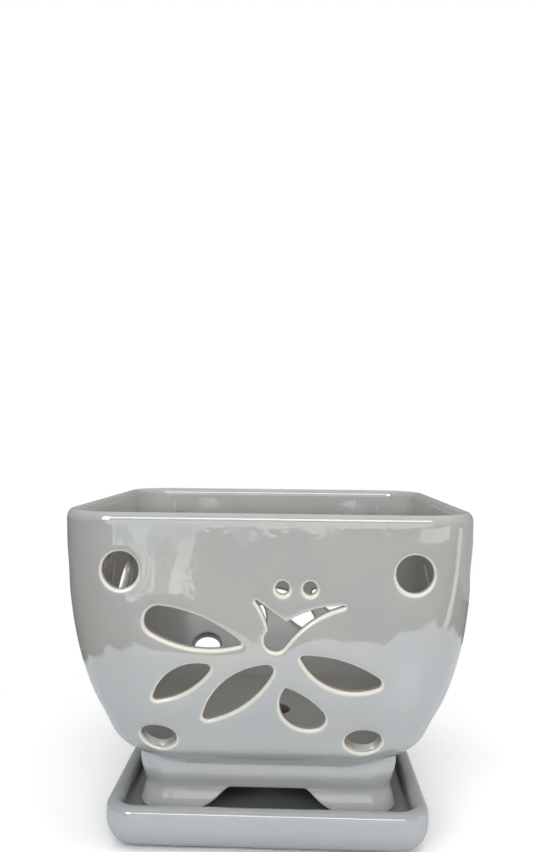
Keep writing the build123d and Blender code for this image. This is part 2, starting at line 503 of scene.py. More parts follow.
EDGE_ROUND = 1.3
INNER_EDGE_ROUND = 1.5
LIP_START = RIM - LIP_HEIGHT
INNER_FILLET = 5.0
INNER_START = INNER_FLOOR + INNER_FILLET
ACROSS_COUNT = 89
OUTER_ROWS = 62
INNER_ROWS = 40
EDGE_STEPS = 6
RINGS_PAST_ROUND = 0.7, 1.7
INNER_RINGS = 0.25, 0.8, INNER_EDGE_ROUND, 2.6
side_shares = np.linspace(-1, 1, ACROSS_COUNT)
round_steps = EDGE_ROUND * (1 - np.cos(np.linspace(0, math.pi / 2, EDGE_STEPS + 1)[1:]))
outer_rings = np.append(round_steps, EDGE_ROUND + np.array(RINGS_PAST_ROUND))
outer_skin = skin(outer_cuts, *OUTER_WALL, BOWL_BASE, OUTER_ROWS, outer_rings)
inner_skin = skin(inner_cuts, *INNER_WALL, INNER_START, INNER_ROWS, INNER_RINGS)
print("triangles in a side: outside", len(outer_skin[1]), "inside", len(inner_skin[1]))


# %% [markdown]
# ## From the flat view to the wall
# The side's height field gives each skin point its depth. Near a cut-out the point sinks
# by the quarter circle, divided by how much the wall faces forward, so the rounding keeps
# its radius where the wall leans. Outside, a slow shoulder leads down to the edge.


# %% Depth of the skins and of the walls of the cut-outs
SHOULDER_DEPTH = 0.35
SHOULDER_WIDTH = 6.0
WALL_STEPS = 7
OUTER_SIDE = *OUTER_WALL, EDGE_ROUND, 1
INNER_SIDE = *INNER_WALL, INNER_EDGE_ROUND, -1


def facing(across, height, half, corner, step=0.01):
    """How much a wall faces forward: 1 where it is square to the view, less elsewhere."""
    depth = side_depth(across, half(height), corner(height))
    sideways = side_depth(across + step, half(height), corner(height)) - depth
    upwards = side_depth(across, half(height + step), corner(height + step)) - depth
    return 1 / np.sqrt(1 + (sideways**2 + upwards**2) / step**2)


def wall_points(flat, away, half, corner, radius, inwards):
    """3-D points of a skin: the height field, sunk towards the middle of the wall.

    Inwards is 1 for the outer skin and -1 for the inner one. The outer skin also has the
    shoulder, a parabola of the distance.
    """
    across, height = flat.T
    depth = side_depth(across, half(height), corner(height))
    left = np.clip(radius - away, 0, radius)
    sunk = radius - np.sqrt(radius**2 - left**2)
    if inwards > 0:
        sunk = sunk + SHOULDER_DEPTH * np.clip(1 - away / SHOULDER_WIDTH, 0, 1) ** 2
    sunk = sunk / facing(across, height, half, corner)
    return np.stack((across, depth + inwards * sunk, height), 1)


def cut_wall(outer_outline, inner_outline):
    """Straight strips from the sunk outer edge of a cut-out to its sunk inner edge."""
    none = np.zeros(len(outer_outline))
    front = wall_points(outer_outline, none, *OUTER_SIDE)
    back = wall_points(inner_outline, none, *INNER_SIDE)
    share = np.linspace(0, 1, WALL_STEPS)[:, None, None]
    points = (front * (1 - share) + back * share).reshape(-1, 3)
    return points, strip_faces(WALL_STEPS, len(front), closed=True), share.repeat(len(front), 1)


def strip_faces(rows, columns, closed=False):
    """Two triangles for each cell of a grid of points, rows by columns."""
    ids = np.arange(rows * columns).reshape(rows, columns)
    if closed:
        ids = np.concatenate((ids, ids[:, :1]), 1)
    a, b, c, d = ids[:-1, :-1], ids[:-1, 1:], ids[1:, 1:], ids[1:, :-1]
    return np.concatenate([np.stack(t, -1).reshape(-1, 3) for t in ((a, b, c), (a, c, d))])


# %% [markdown]
# ## The lip, the floor and the underside
# These are rings of the same rounded square, grown, shrunk and raised. A ring is given
# by half-width, corner radius and height, and a share that turns it into a circle, as
# round the drain hole. All rings have the same points, so they join the skins exactly.


# %% Rings of rounded squares
DRAIN_ROUND = 1.2
FILLET_CORNER_SHARE = 0.8
FILLET_STEPS = 8
DRAIN_STEPS = 4
LIP_STEPS = 20
FLOOR_STEPS = 15


def side_rings(halves, corners, heights, round_shares=0.0, shares=side_shares):
    """Front side of a stack of rings. A ring's own circle has its half-width as radius."""
    halves, corners, heights, rounds = np.broadcast_arrays(
        *(np.asarray(a, float)[..., None] for a in (halves, corners, heights, round_shares))
    )
    across = shares * diagonal_reach(halves, corners)
    depth = side_depth(across, halves, corners)
    angle = shares * math.pi / 4
    across = across * (1 - rounds) + halves * np.sin(angle) * rounds
    depth = depth * (1 - rounds) - halves * np.cos(angle) * rounds
    points = np.stack((across, depth, np.broadcast_to(heights, across.shape)), -1)
    return points.reshape(-1, 3), strip_faces(len(halves), len(shares))


def lip_rings():
    """Half an oval over the rim's wall, from the outer skin's top to the inner one's."""
    angle = np.linspace(0, math.pi, LIP_STEPS + 1)
    share = (1 - np.cos(angle)) / 2
    heights = LIP_START + LIP_HEIGHT * np.sin(angle)
    sizes = [
        outer(LIP_START) * (1 - share) + inner(LIP_START) * share
        for outer, inner in zip(OUTER_WALL, INNER_WALL)
    ]
    return side_rings(*sizes, heights)


def plate(half, corner, height, shares):
    """Level rings, from the drain hole's edge at 0 to a rounded square at share 1."""
    edge = DRAIN_RADIUS + DRAIN_ROUND
    grown = (edge + (size - edge) * shares for size in (half, corner))
    return *grown, height + 0 * shares, 1 - shares


def floor_rings():
    """From the inner skin down a fillet, over the floor, down the drain and back out.

    Each block holds the half-widths, corner radii, heights and circle shares of some
    rings. The fillet is a parabola that starts along the wall and ends along the floor.
    """
    start, corner = inner_half(INNER_START), inner_corner(INNER_START)
    slope = inner_half(INNER_START + 0.5) - inner_half(INNER_START - 0.5)
    end, knee = start - INNER_FILLET * (1 + slope), start - INNER_FILLET * slope
    turn = np.linspace(0, 1, FILLET_STEPS + 1)
    left = 1 - turn
    fillet = start * left**2 + 2 * turn * left * knee + end * turn**2
    corners = corner + (fillet - start) * FILLET_CORNER_SHARE
    edge = DRAIN_RADIUS + DRAIN_ROUND
    out = np.linspace(0, 1, FLOOR_STEPS + 1)
    bend = np.linspace(0, math.pi / 2, DRAIN_STEPS + 1)[1:]
    one = np.ones(len(bend))
    drawn, sunk = DRAIN_ROUND * (1 - np.cos(bend)), DRAIN_ROUND * np.sin(bend)
    blocks = (
        (fillet, corners, INNER_START * left**2 + INNER_FLOOR * (1 - left**2), 0 * turn),
        plate(end, corners[-1], INNER_FLOOR, out[-2::-1]),
        (edge - sunk, edge * one, INNER_FLOOR - drawn, one),
        (DRAIN_RADIUS + drawn, edge * one, BOWL_BASE + DRAIN_ROUND - sunk, one),
        plate(UNDERSIDE_HALF, corner_spline(BOWL_BASE), BOWL_BASE, out[1:]),
    )
    return side_rings(*(np.concatenate(column) for column in zip(*blocks)))


print("rings made with", ACROSS_COUNT, "points a side")


# %% [markdown]
# ## From arrays to a mesh
# Points that lie at the same place are welded, so that the skins, walls and rings form
# one closed surface. Its attributes go with it: how thin the glaze is at each point,
# with a painted highlight on lower edges, where the surface is an inner side that takes
# painted shade, and where clay is left bare for the kiln shelf.


# %% Weld and write a mesh
WELD_GRID = 1e-4
ATTRIBUTES = "thin_glaze_and_highlight", "inner_shade_and_dull", "bare_clay"


def weld(points, faces, values):
    """One point for each place, to a tenth of a micrometre, and no collapsed faces."""
    keys = np.round(points / WELD_GRID).astype(np.int64)
    _, first, back = np.unique(keys, axis=0, return_index=True, return_inverse=True)
    faces = back.ravel()[faces]
    a, b, c = faces.T
    faces = faces[(a != b) & (b != c) & (a != c)]
    return points[first], faces, [value[first] for value in values]


def put(name, data):
    """A new object with this data, in the scene."""
    thing = bpy.data.objects.new(name, data)
    bpy.context.scene.collection.objects.link(thing)
    return thing


def make_piece(name, points, faces, *values):
    """A smooth mesh object in metres, with one number per point for each attribute."""
    points, faces, values = weld(points, faces, values)
    mesh = bpy.data.meshes.new(name)
    mesh.from_pydata(points * MM, [], faces, shade_flat=False)
    for key, value in zip(ATTRIBUTES, values):
        layer = mesh.attributes.new(key, "FLOAT", "POINT")
        layer.data.foreach_set("value", value.astype(np.float32))
    mesh.validate()
    edges = np.sort(np.concatenate((faces[:, :2], faces[:, 1:], faces[:, ::2])), 1)
    _, uses = np.unique(edges, axis=0, return_counts=True)
    print(name, len(faces), "triangles, edges not shared by two:", int((uses != 2).sum()))
    return put(name, mesh)


print("places that differ by less than", WELD_GRID * 1000, "micrometres become one")

# %% [markdown]
# ## Hand-made unevenness
# A cast wall dries and fires a little uneven, which shows in how it bends reflections.
# Sines of the place draw the wall in, so it never leaves the CAD solid's box.


# %% Slow waves
SLOW_WAVES = (
    ((0.043, 0.02, 0.031), (-0.027, 0.05, 0.018), (0.016, -0.036, 0.052), (0.06, 0.03, -0.04)),
    0.3,
)
QUICK_WAVES = (
    ((0.17, 0.09, 0.11), (-0.12, 0.2, 0.07), (0.08, -0.15, 0.21), (0.21, 0.13, -0.16)),
    0.08,
)
WAVE_PHASES = (0.4, 2.1, 3.9, 5.2)
WAVE_START = 15.0


def wavy(points):
    """Points drawn towards the axis by up to 0.4 mm, in slow waves and in quicker ones.

    A set of waves is its directions, in radians a millimetre, and its depth. Its draw is
    the mean of the four sines of the place, made all positive, and fades out towards the
    bowl's underside, so that the bowl meets the foot as the CAD has it.
    """
    fade = np.clip((points[:, 2] - BOWL_BASE) / WAVE_START, 0, 1)
    draw = 0
    for waves, depth in (SLOW_WAVES, QUICK_WAVES):
        sines = [np.sin(points @ np.array(w) + p) for w, p in zip(waves, WAVE_PHASES)]
        draw = draw + (1 + sum(sines) / 4) / 2 * depth * fade
    radius = np.maximum(np.hypot(points[:, 0], points[:, 1]), 1)
    scale = 1 - draw / radius
    return points * np.stack((scale, scale, np.ones(len(scale))), 1)


print("the deepest waves are", SLOW_WAVES[1] + QUICK_WAVES[1], "mm")

# %% [markdown]
# ## The bowl
# One side's outer skin, inner skin, cut-out walls, lip, floor and underside are put
# together, turned four times and welded. The glaze is thin, and so looks pale, on the
# rounded edges: full on the edge itself, and fading out within half a millimetre. A
# painted highlight widens that pale band on lower edges, and the inner sides are marked
# for painted shade.


# %% Build the bowl
THIN_WIDTH = 1.05 * EDGE_ROUND
# A painted highlight: the pale band is this much wider on the lower edges of cut-outs.
HIGHLIGHT_MORE_BELOW = 0.25 * EDGE_ROUND
THIN_FADE = 0.35 * EDGE_ROUND
THIN_WITHIN = 4.0
THIN_WALL_SHARE = 1 / 9
INNER_WALL_SHARE = 1 / 2
INNER_FADE = 6.0, 18.0


def thin_glaze_and_highlight(flat, away):
    """1 on a cut edge, falling to 0 past its rounding: later below a cut-out than above.

    The wider band below a cut-out is a painted highlight, for lower edges that face up
    to the light. The nearest outline point tells which way the cut-out lies, and the
    width grows with how far up that is.
    """
    outline = np.concatenate(outer_cuts)
    near = np.flatnonzero(away < THIN_WITHIN)
    gap = outline[None] - flat[near, None]
    nearest = gap[np.arange(len(near)), (gap**2).sum(2).argmin(1)]
    upwards = np.zeros(len(flat))
    upwards[near] = nearest[:, 1] / np.maximum(np.hypot(*nearest.T), TINY)
    return np.clip((THIN_WIDTH + HIGHLIGHT_MORE_BELOW * upwards - away) / THIN_FADE, 0, 1)


def side_of_bowl():
    """Points and faces of one side of the bowl, where it is thin and where it is inner."""
    flat, faces, away = outer_skin
    points = wall_points(flat, away, *OUTER_SIDE)
    blocks = [(points, faces, thin_glaze_and_highlight(flat, away), 0 * away)]
    flat, faces, away = inner_skin
    points = wall_points(flat, away, *INNER_SIDE)
    # Below the lip the inner skin fades into painted shade.
    below_lip_shade = np.interp(LIP_START - points[:, 2], INNER_FADE, (0, 1))
    blocks.append((points, faces[:, ::-1], 0 * away, below_lip_shade))
    for outer_outline, inner_outline in zip(outer_cuts, inner_cuts):
        points, faces, share = cut_wall(outer_outline, inner_outline)
        share = share.ravel()
        thin = np.clip(1 - share / THIN_WALL_SHARE, 0, 1)
        # The inner half of each cut-out's wall fades into painted shade.
        inner = np.clip(share / INNER_WALL_SHARE, 0, 1)
        blocks.append((points, faces[:, ::-1], thin, inner))
    # The floor, drain and underside take the inner sides' painted shade; the lip does not.
    for (points, faces), level in ((lip_rings(), 0), (floor_rings(), 1)):
        blocks.append((points, faces, np.zeros(len(points)), np.full(len(points), level)))
    points = np.concatenate([b[0] for b in blocks])
    offsets = np.cumsum([0] + [len(b[0]) for b in blocks[:-1]])
    faces = np.concatenate([b[1] + start for b, start in zip(blocks, offsets)])
    return points, faces, *(np.concatenate([b[k] for b in blocks]) for k in (2, 3))


bowl_points, *bowl_rest = four_sides(*side_of_bowl())
bowl = make_piece("pot_bowl", wavy(bowl_points), *bowl_rest, np.zeros(len(bowl_points)))

# %% [markdown]
# ## The foot
# Under the bowl a convex moulding runs round, then a skirt flares out to four feet.
# Each side of the skirt is cut away in an arch with ogee sides. A column of points runs
# down the outside, across the sole or the arch's edge, and up the inside. The glaze is
# wiped off the soles, which would stick to the shelf in the kiln.


# %% Profile of the foot and of its arch
ARCH_TOP = 18.0
ARCH_FOOT = 42.0
ARCH_SHARES = (0, 0.24, 1)
ARCH_HEIGHTS = (CREASE, SAUCER_FLOOR + SKIRT_HEIGHT * 0.65, SAUCER_FLOOR)
FOOT_ROUND = 1.2
CREASE_GLAZE = 0.45
CREASE_GLAZE_WIDTH = 1.3
FOOT_REACH = diagonal_reach(CREASE_HALF, CREASE_CORNER)
STRAIGHT = 43.0
SOLE_WITHIN = 0.01
INTO_BOWL = 4.8
arch_side = smooth_through(ARCH_SHARES, ARCH_HEIGHTS, level_ends=True)


def foot_half_at(height):
    """Half-width of the foot's outside: a circular moulding above a straight flare.

    The moulding's radius comes from its height and its drop, as a chord and its height.
    Glaze fills the crease between them, as a bell curve of the height.
    """
    radius = (MOULDING_HEIGHT**2 + MOULDING_DROP**2) / (2 * MOULDING_DROP)
    below_top = np.clip(BOWL_BASE - height, 0, MOULDING_HEIGHT)
    moulding = MOULDING_HALF - radius + np.sqrt(radius**2 - below_top**2)
    flare = CREASE_HALF + FOOT_FLARE * np.clip(CREASE - height, 0, None) / SKIRT_HEIGHT
    glaze = CREASE_GLAZE * np.exp(-(((height - CREASE) / CREASE_GLAZE_WIDTH) ** 2))
    return np.where(height > CREASE, moulding, flare) + glaze


def arch_height(across):
    """Height of the arch's edge: level in the middle, then down an S-bend to the foot."""
    return arch_side(np.interp(np.abs(across), (ARCH_TOP, ARCH_FOOT), (0, 1)))


# %% Columns of the foot
FOOT_COUNTS = 22, 48, 18, 48, 22
SKIRT_STEPS = 12
TOP_STEPS = 3
SOLE_STEPS = 5
FLAT_TOP = ARCH_TOP - 1


def spread(stops, counts):
    """Places from the first stop to the last, in so many even steps between each two."""
    runs = [np.linspace(a, b, n + 1)[:-1] for a, b, n in zip(stops, stops[1:], counts)]
    return np.append(np.concatenate(runs), stops[-1])


def side_of_foot():
    """One side of the foot as columns, each a closed loop: outside, sole and inside.

    The outside starts inside the bowl's floor, so the moulding runs up into the bowl
    at the corners. Both lower edges are quarter circles.
    """
    stops = (-FOOT_REACH, -STRAIGHT, -FLAT_TOP, FLAT_TOP, STRAIGHT, FOOT_REACH)
    across = spread(stops, FOOT_COUNTS)
    low = arch_height(across)
    start = low + FOOT_ROUND
    knee = np.maximum(CREASE, start)
    down = np.linspace(0, 1, SKIRT_STEPS + 1)[:, None]
    top = BOWL_BASE + INTO_BOWL * np.linspace(1, 0, TOP_STEPS + 1)[:-1, None] + 0 * low
    outside = np.concatenate(
        (top, BOWL_BASE + (knee - BOWL_BASE) * down, knee + (start - knee) * down[1:])
    )
    bend = np.linspace(0, math.pi / 2, SOLE_STEPS + 1)[1:, None]
    turned = low + FOOT_ROUND * (1 - np.sin(bend))
    drawn_in = np.concatenate((0 * outside, FOOT_ROUND * (1 - np.cos(bend)) + 0 * low))
    outside = np.concatenate((outside, turned))
    heights = np.concatenate((outside, outside[::-1], outside[:1]))
    halves = foot_half_at(heights)
    rows = len(outside)
    halves[:rows] -= drawn_in
    halves[rows:-1] -= WALL - drawn_in[::-1]
    corners = CREASE_CORNER + halves - CREASE_HALF
    reach = diagonal_reach(halves, corners)
    past = np.clip(np.abs(across) - STRAIGHT, 0, None) / (FOOT_REACH - STRAIGHT)
    x = np.sign(across) * (np.minimum(np.abs(across), STRAIGHT) + past * (reach - STRAIGHT))
    points = np.stack((x, side_depth(x, halves, corners), heights), -1)
    inner = np.repeat(np.arange(len(heights)) >= rows, len(across)).astype(float)
    return points.reshape(-1, 3), strip_faces(*points.shape[:2])[:, ::-1], inner


# The inside of the foot is marked for painted shade.
foot_points, foot_faces, foot_inner_shade = four_sides(*side_of_foot())
sole = (foot_points[:, 2] < SAUCER_FLOOR + SOLE_WITHIN).astype(float)
foot = make_piece("pot_foot", foot_points, foot_faces, 0 * sole, foot_inner_shade, sole)

# %% [markdown]
# ## The saucer
# The saucer is one profile carried round a rounded square: a recessed base, a foot
# ring, a well-rounded underside, a rolled rim and the well that the pot stands in.
# Each corner of the profile is an arc, and the corner radius shrinks with the width.


# %% Build the saucer
SAUCER_GAP = 6.2
SAUCER_RIM = 8.2
SAUCER_HALF = FOOT_HALF + SAUCER_GAP + SAUCER_RIM
SAUCER_HEIGHT = 22.0
SAUCER_CORNER = 16.0
SAUCER_UNDER_ROUND = 13.8
RIM_ROUND = SAUCER_RIM * 0.48
RING_HALF = SAUCER_HALF - SAUCER_UNDER_ROUND - 9.0
RING_ROUND = 0.8
WELL_HALF = SAUCER_HALF - SAUCER_RIM
WELL_ROUND = 2.0
RECESS = SAUCER_FLOOR - 7.0
ROUND_STEPS = 13
SHARPEST_CORNER = 0.02
BARE_BELOW = 0.2, 0.5
WELL_FADE = 2.0, 6.0
PAST_WELL = 1.0
SAUCER_STOPS = -1, -0.8, 0.8, 1
SAUCER_COUNTS = 12, 40, 12


def rounded_profile(corners):
    """A line through corners given as (half-width, height, radius), each an arc.

    An arc starts and ends at radius over the tangent of half the corner's angle from
    the corner. Its points turn evenly about its centre.
    """
    places = [np.array(c[:2], float) for c in corners]
    line = [places[0]]
    for before, corner, after, (_, _, radius) in zip(places, places[1:], places[2:], corners[1:]):
        back, ahead = before - corner, after - corner
        back, ahead = back / np.hypot(*back), ahead / np.hypot(*ahead)
        half_angle = math.acos(np.clip(back @ ahead, -1, 1)) / 2
        trim = radius / math.tan(half_angle)
        middle = (back + ahead) / np.hypot(*(back + ahead))
        centre = corner + middle * radius / math.sin(half_angle)
        first, last = corner + back * trim - centre, corner + ahead * trim - centre
        start = math.atan2(first[1], first[0])
        turn = math.atan2(last[1], last[0]) - start
        turn = (turn + math.pi) % (2 * math.pi) - math.pi
        line.extend(on_circle(centre, radius, start + np.linspace(0, turn, ROUND_STEPS)))
    line.append(places[-1])
    return np.array(line)


def closer(run, longest=4.0):
    """The same places, with more between two that are far apart."""
    return spread(run, np.maximum(np.diff(run) / longest, 1).astype(int))


saucer_profile = rounded_profile(
    (
        (0.0, RECESS, 0),
        (RING_HALF, RECESS, RING_ROUND),
        (RING_HALF, 0.0, RING_ROUND),
        (SAUCER_HALF, 0.0, SAUCER_UNDER_ROUND),
        (SAUCER_HALF, SAUCER_HEIGHT, RIM_ROUND),
        (WELL_HALF, SAUCER_HEIGHT, RIM_ROUND),
        (WELL_HALF, SAUCER_FLOOR, WELL_ROUND),
        (0.0, SAUCER_FLOOR, 0),
    )
)
saucer_halves, saucer_heights = resample(saucer_profile, closer).T
saucer_corners = SAUCER_CORNER + saucer_halves - SAUCER_HALF
saucer_corners = np.minimum(np.maximum(saucer_corners, SHARPEST_CORNER), saucer_halves)
saucer_shares = spread(SAUCER_STOPS, SAUCER_COUNTS)
saucer_side = side_rings(saucer_halves, saucer_corners, saucer_heights, shares=saucer_shares)
saucer_points, saucer_faces = four_sides(*saucer_side)
on_ring = np.interp(saucer_points[:, 2], BARE_BELOW, (1, 0))
# Within the well's square, from 2 to 6 mm below the rim's top, points fade into painted shade.
well_shade = np.abs(saucer_points[:, :2]).max(1) < WELL_HALF + PAST_WELL
well_shade = well_shade * np.interp(SAUCER_HEIGHT - saucer_points[:, 2], WELL_FADE, (0, 1))
saucer = make_piece(
    "saucer_tray", saucer_points, saucer_faces, 0 * on_ring, well_shade, on_ring
)

# %% [markdown]
# ## The glaze
# The real finish is a pearl-grey lustre glaze: a pale grey that mirrors more than clear
# glaze does, so its index of refraction is high. It is cream where it runs thin over an
# edge, and a painted highlight widens that band on lower edges. It is duller on the
# inner sides, which get a thin coat, and darker there, which is painted shade. A
# Principled shader carries it. Noise shifts the grey a little, a fine bump breaks the
# reflections, and the mesh's own attributes bring in the edges, the painted shade of the
# inner sides and the bare soles.


# %% Helpers for node trees
def new_material(name):
    """A new node material, its node tree and its Principled shader."""
    material = bpy.data.materials.new(name)
    material.use_nodes = True
    return material, material.node_tree, material.node_tree.nodes["Principled BSDF"]


def feed(tree, socket, value):
    """Link the value to the socket if it is a socket itself, or else set it there."""
    if isinstance(value, bpy.types.NodeSocket):
        tree.links.new(value, socket)
    else:
        socket.default_value = value


def add_node(tree, kind, inputs=None, **settings):
    """A shader node of this kind, with its settings made and its inputs fed."""
    node = tree.nodes.new("ShaderNode" + kind)
    for key, value in settings.items():
        setattr(node, key, value)
    for key, value in (inputs or {}).items():
        feed(tree, node.inputs[key], value)
    return node


def mix_colours(tree, share, first, second):
    """A colour between two, by a share that is a number or a socket."""
    node = add_node(tree, "Mix", data_type="RGBA")
    for key, value in (("Factor", share), ("A", first), ("B", second)):
        feed(tree, [s for s in node.inputs if s.name == key and s.enabled][-1], value)
    return [s for s in node.outputs if s.enabled][-1]


def noise(tree, place, scale, detail, roughness=0.5):
    """Soft random shares, in lumps of about one over the scale, in metres."""
    inputs = {"Vector": place, "Scale": scale, "Detail": detail, "Roughness": roughness}
    return add_node(tree, "TexNoise", inputs).outputs["Fac"]


def span(tree, value, start, stop, low=0.0, high=1.0, **settings):
    """A value that goes from low to high while the given one goes from start to stop."""
    inputs = {"Value": value, "From Min": start, "From Max": stop, "To Min": low, "To Max": high}
    return add_node(tree, "MapRange", inputs, **settings).outputs["Result"]


def times_plus(tree, value, factor, addend):
    """The value times a factor, plus an addend."""
    inputs = {0: value, 1: factor, 2: addend}
    return add_node(tree, "Math", inputs, operation="MULTIPLY_ADD").outputs["Value"]


def srgb(red, green, blue):
    """A display colour, 0 to 255, as the linear colour that a shader takes."""
    shares = np.array((red, green, blue)) / 255
    linear = np.where(shares > 0.04045, ((shares + 0.055) / 1.055) ** 2.4, shares / 12.92)
    return (*linear.tolist(), 1.0)


print("white paper reflects", round(srgb(246, 246, 246)[0], 2), "of the light")

# %% Pearl-grey glaze
POT_GREYS = srgb(166, 165, 160), srgb(158, 161, 161)
SAUCER_GREYS = srgb(154, 156, 156), srgb(149, 153, 155)
GLAZE_CREAM = srgb(208, 205, 191)
# Darker greys for the inner sides, which are painted shade.
POT_INNER_SHADE = srgb(118, 116, 113)
SAUCER_INNER_SHADE = srgb(98, 100, 104)
BARE_CLAY = srgb(214, 204, 186)
GLAZE_ROUGHNESS = 0.045
CLAY_ROUGHNESS = 0.8
INNER_DULLNESS = 0.45
GLAZE_IOR = 2.2
CLOUDS = 22.0, 8.0, 0.7
CLOUD_SPAN = 0.36, 0.64
RIPPLES = 55.0, 3.0
RIPPLE_DEPTH = 0.0006
RIPPLE_STRENGTH = 0.4


def pearl_glaze(name, greys, inner_shade_grey):
    """The glaze on Object coordinates: clouded grey, cream edges and bare clay soles.

    It goes from the glaze's roughness to the clay's by a dull share, which is the inner
    side's times its dullness, plus that of the bare clay. The inner sides also take a
    darker grey, which is painted shade.
    """
    material, tree, shader = new_material(name)
    place = add_node(tree, "TexCoord").outputs["Object"]
    thin, inner, bare = (
        add_node(tree, "Attribute", attribute_name=key).outputs["Fac"]
        for key in ATTRIBUTES
    )
    clouds = span(tree, noise(tree, place, *CLOUDS), *CLOUD_SPAN)
    # Inner sides take the darker grey, which is painted shade.
    shaded_grey = mix_colours(tree, inner, mix_colours(tree, clouds, *greys), inner_shade_grey)
    edged = mix_colours(tree, thin, shaded_grey, GLAZE_CREAM)
    dull = times_plus(tree, inner, INNER_DULLNESS, bare)
    height = noise(tree, place, *RIPPLES)
    ripples = {"Height": height, "Strength": RIPPLE_STRENGTH, "Distance": RIPPLE_DEPTH}
    for key, value in (
        ("Base Color", mix_colours(tree, bare, edged, BARE_CLAY)),
        ("Roughness", span(tree, dull, 0.0, 1.0, GLAZE_ROUGHNESS, CLAY_ROUGHNESS)),
        ("Normal", add_node(tree, "Bump", ripples).outputs["Normal"]),
        ("IOR", GLAZE_IOR),
    ):
        feed(tree, shader.inputs[key], value)
    return material


pot_glaze = pearl_glaze("pearl_grey_glaze", POT_GREYS, POT_INNER_SHADE)
saucer_glaze = pearl_glaze("saucer_grey_glaze", SAUCER_GREYS, SAUCER_INNER_SHADE)
print("materials", [m.name for m in bpy.data.materials])

# %% [markdown]
# ## Hang the pieces on the bodies
# The bowl and the foot are one casting, so both ride on the pot's body and together
# stand for its CAD node. The tray rides on the saucer's body.

# %% Ride and replace
for piece, body, node, slot, material in (
    (bowl, "pot_body", "pot", "pot_glaze", pot_glaze),
    (foot, "pot_body", "pot", "pot_glaze", pot_glaze),
    (saucer, "saucer_body", "saucer", "saucer_glaze", saucer_glaze),
):
    piece.data.materials.append(material)
    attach(piece, body)
    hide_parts(node)
print("pieces", [p.name for p in (bowl, foot, saucer)])

# %% [markdown]
# ## Floor and surround
# The camera sees a pale floor that turns plain white further out, on a white ground, so
# there is no horizon. A glossy pot would mirror that as one flat white. So all other
# rays meet a pale oval table with a ragged edge and a dim floor beyond it: the glaze
# then shows a light lower half, a darker upper half and an uneven line between them.


# %% Floor and surround
FLOOR_SIZE = 3.0
PAPER_ROUGHNESS = 0.9
FLOOR_WHITE = srgb(246, 246, 246)
FLOOR_NEAR = srgb(214, 220, 226)
FLOOR_FAR = srgb(100, 94, 88)
# A pool of light painted on the table, for the glaze to mirror.
FLOOR_GLOW = srgb(228, 242, 255)
GLOW_PLACE = (0.155, -0.145, 0.0)
TABLE_SQUEEZE = (1.15, 0.88, 1.0)
TABLE_SHIFT = (-0.04, 0.0, 0.0)
RAGS = 14.0, 4.0
RAGGEDNESS = 0.09
WHITE_FADE = 0.12, 0.26
TABLE_FADE = 0.355, 0.369
GLOW_FADE = 0.01, 0.085
SURROUND = 0.28


def flat_sheet(name, corners, faces, material):
    """An object of flat faces in one material."""
    mesh = bpy.data.meshes.new(name)
    mesh.from_pydata(corners, [], faces)
    mesh.materials.append(material)
    return put(name, mesh)


def studio_floor():
    """A flat sheet: white paper to the camera, an oval table to all other rays.

    The table's edge lies where the squeezed distance plus some noise passes a limit. A
    soft pool of light painted on it, bluish white, is mirrored low down on the bowl's
    right side.
    """
    material, tree, shader = new_material("floor_paper")
    place = add_node(tree, "TexCoord").outputs["Object"]
    camera_ray = add_node(tree, "LightPath").outputs["Is Camera Ray"]

    def vector_math(operation, output, *values):
        inputs = dict(enumerate(values))
        return add_node(tree, "VectorMath", inputs, operation=operation).outputs[output]

    squeezed = vector_math("MULTIPLY_ADD", "Vector", place, TABLE_SQUEEZE, TABLE_SHIFT)
    oval = vector_math("LENGTH", "Value", squeezed)
    past_white, past_table, past_glow = (
        span(tree, distance, *fade, interpolation_type="SMOOTHSTEP")
        for distance, fade in (
            (vector_math("LENGTH", "Value", place), WHITE_FADE),
            (times_plus(tree, noise(tree, place, *RAGS), RAGGEDNESS, oval), TABLE_FADE),
            (vector_math("DISTANCE", "Value", place, GLOW_PLACE), GLOW_FADE),
        )
    )
    table = mix_colours(tree, past_glow, FLOOR_GLOW, FLOOR_NEAR)
    bounced = mix_colours(tree, past_table, table, FLOOR_FAR)
    paper = mix_colours(tree, camera_ray, bounced, FLOOR_WHITE)
    feed(tree, shader.inputs["Base Color"], paper)
    feed(tree, shader.inputs["Roughness"], PAPER_ROUGHNESS)
    share = times_plus(tree, past_white, camera_ray, 0.0)
    white = add_node(tree, "Emission", {"Color": (1, 1, 1, 1), "Strength": 1.0})
    mixed = add_node(tree, "MixShader", {0: share, 1: shader.outputs[0], 2: white.outputs[0]})
    feed(tree, tree.nodes["Material Output"].inputs["Surface"], mixed.outputs[0])
    corners = [(x * FLOOR_SIZE, y * FLOOR_SIZE, 0) for x, y in ((-1, -1), (1, -1), (1, 1), (-1, 1))]
    floor = flat_sheet("studio_floor", corners, [(0, 1, 2, 3)], material)


studio_floor()
world = bpy.data.worlds.new("studio")
bpy.context.scene.world = world
world.use_nodes = True
camera_ray = add_node(world.node_tree, "LightPath").outputs["Is Camera Ray"]
back = world.node_tree.nodes["Background"].inputs
feed(world.node_tree, back["Color"], (1, 1, 1, 1))
feed(world.node_tree, back["Strength"], span(world.node_tree, camera_ray, 0, 1, SURROUND, 1))
print("surround", SURROUND, "of full white on the object, white to the camera")

# %% [markdown]
# ## Light
# Soft panels as wide as a window give glossy clay its long highlights. The fills only
# brighten the sides, and leave no highlight of their own.


# %% Lights
def panel(name, place, target, width, height, power, mirrored=True, tint=(1, 1, 1)):
    """A soft rectangular light at a place, in metres, turned to a target.

    One that isn't mirrored lights the glaze but leaves no highlight on it.
    """
    light = bpy.data.lights.new(name, "AREA")
    light.shape = "RECTANGLE"
    light.size, light.size_y, light.energy, light.color = width, height, power, tint
    lamp = put(name, light)
    lamp.visible_glossy = mirrored
    lamp.location = place
    way = mathutils.Vector(target) - mathutils.Vector(place)
    lamp.rotation_euler = way.to_track_quat("-Z", "Y").to_euler()


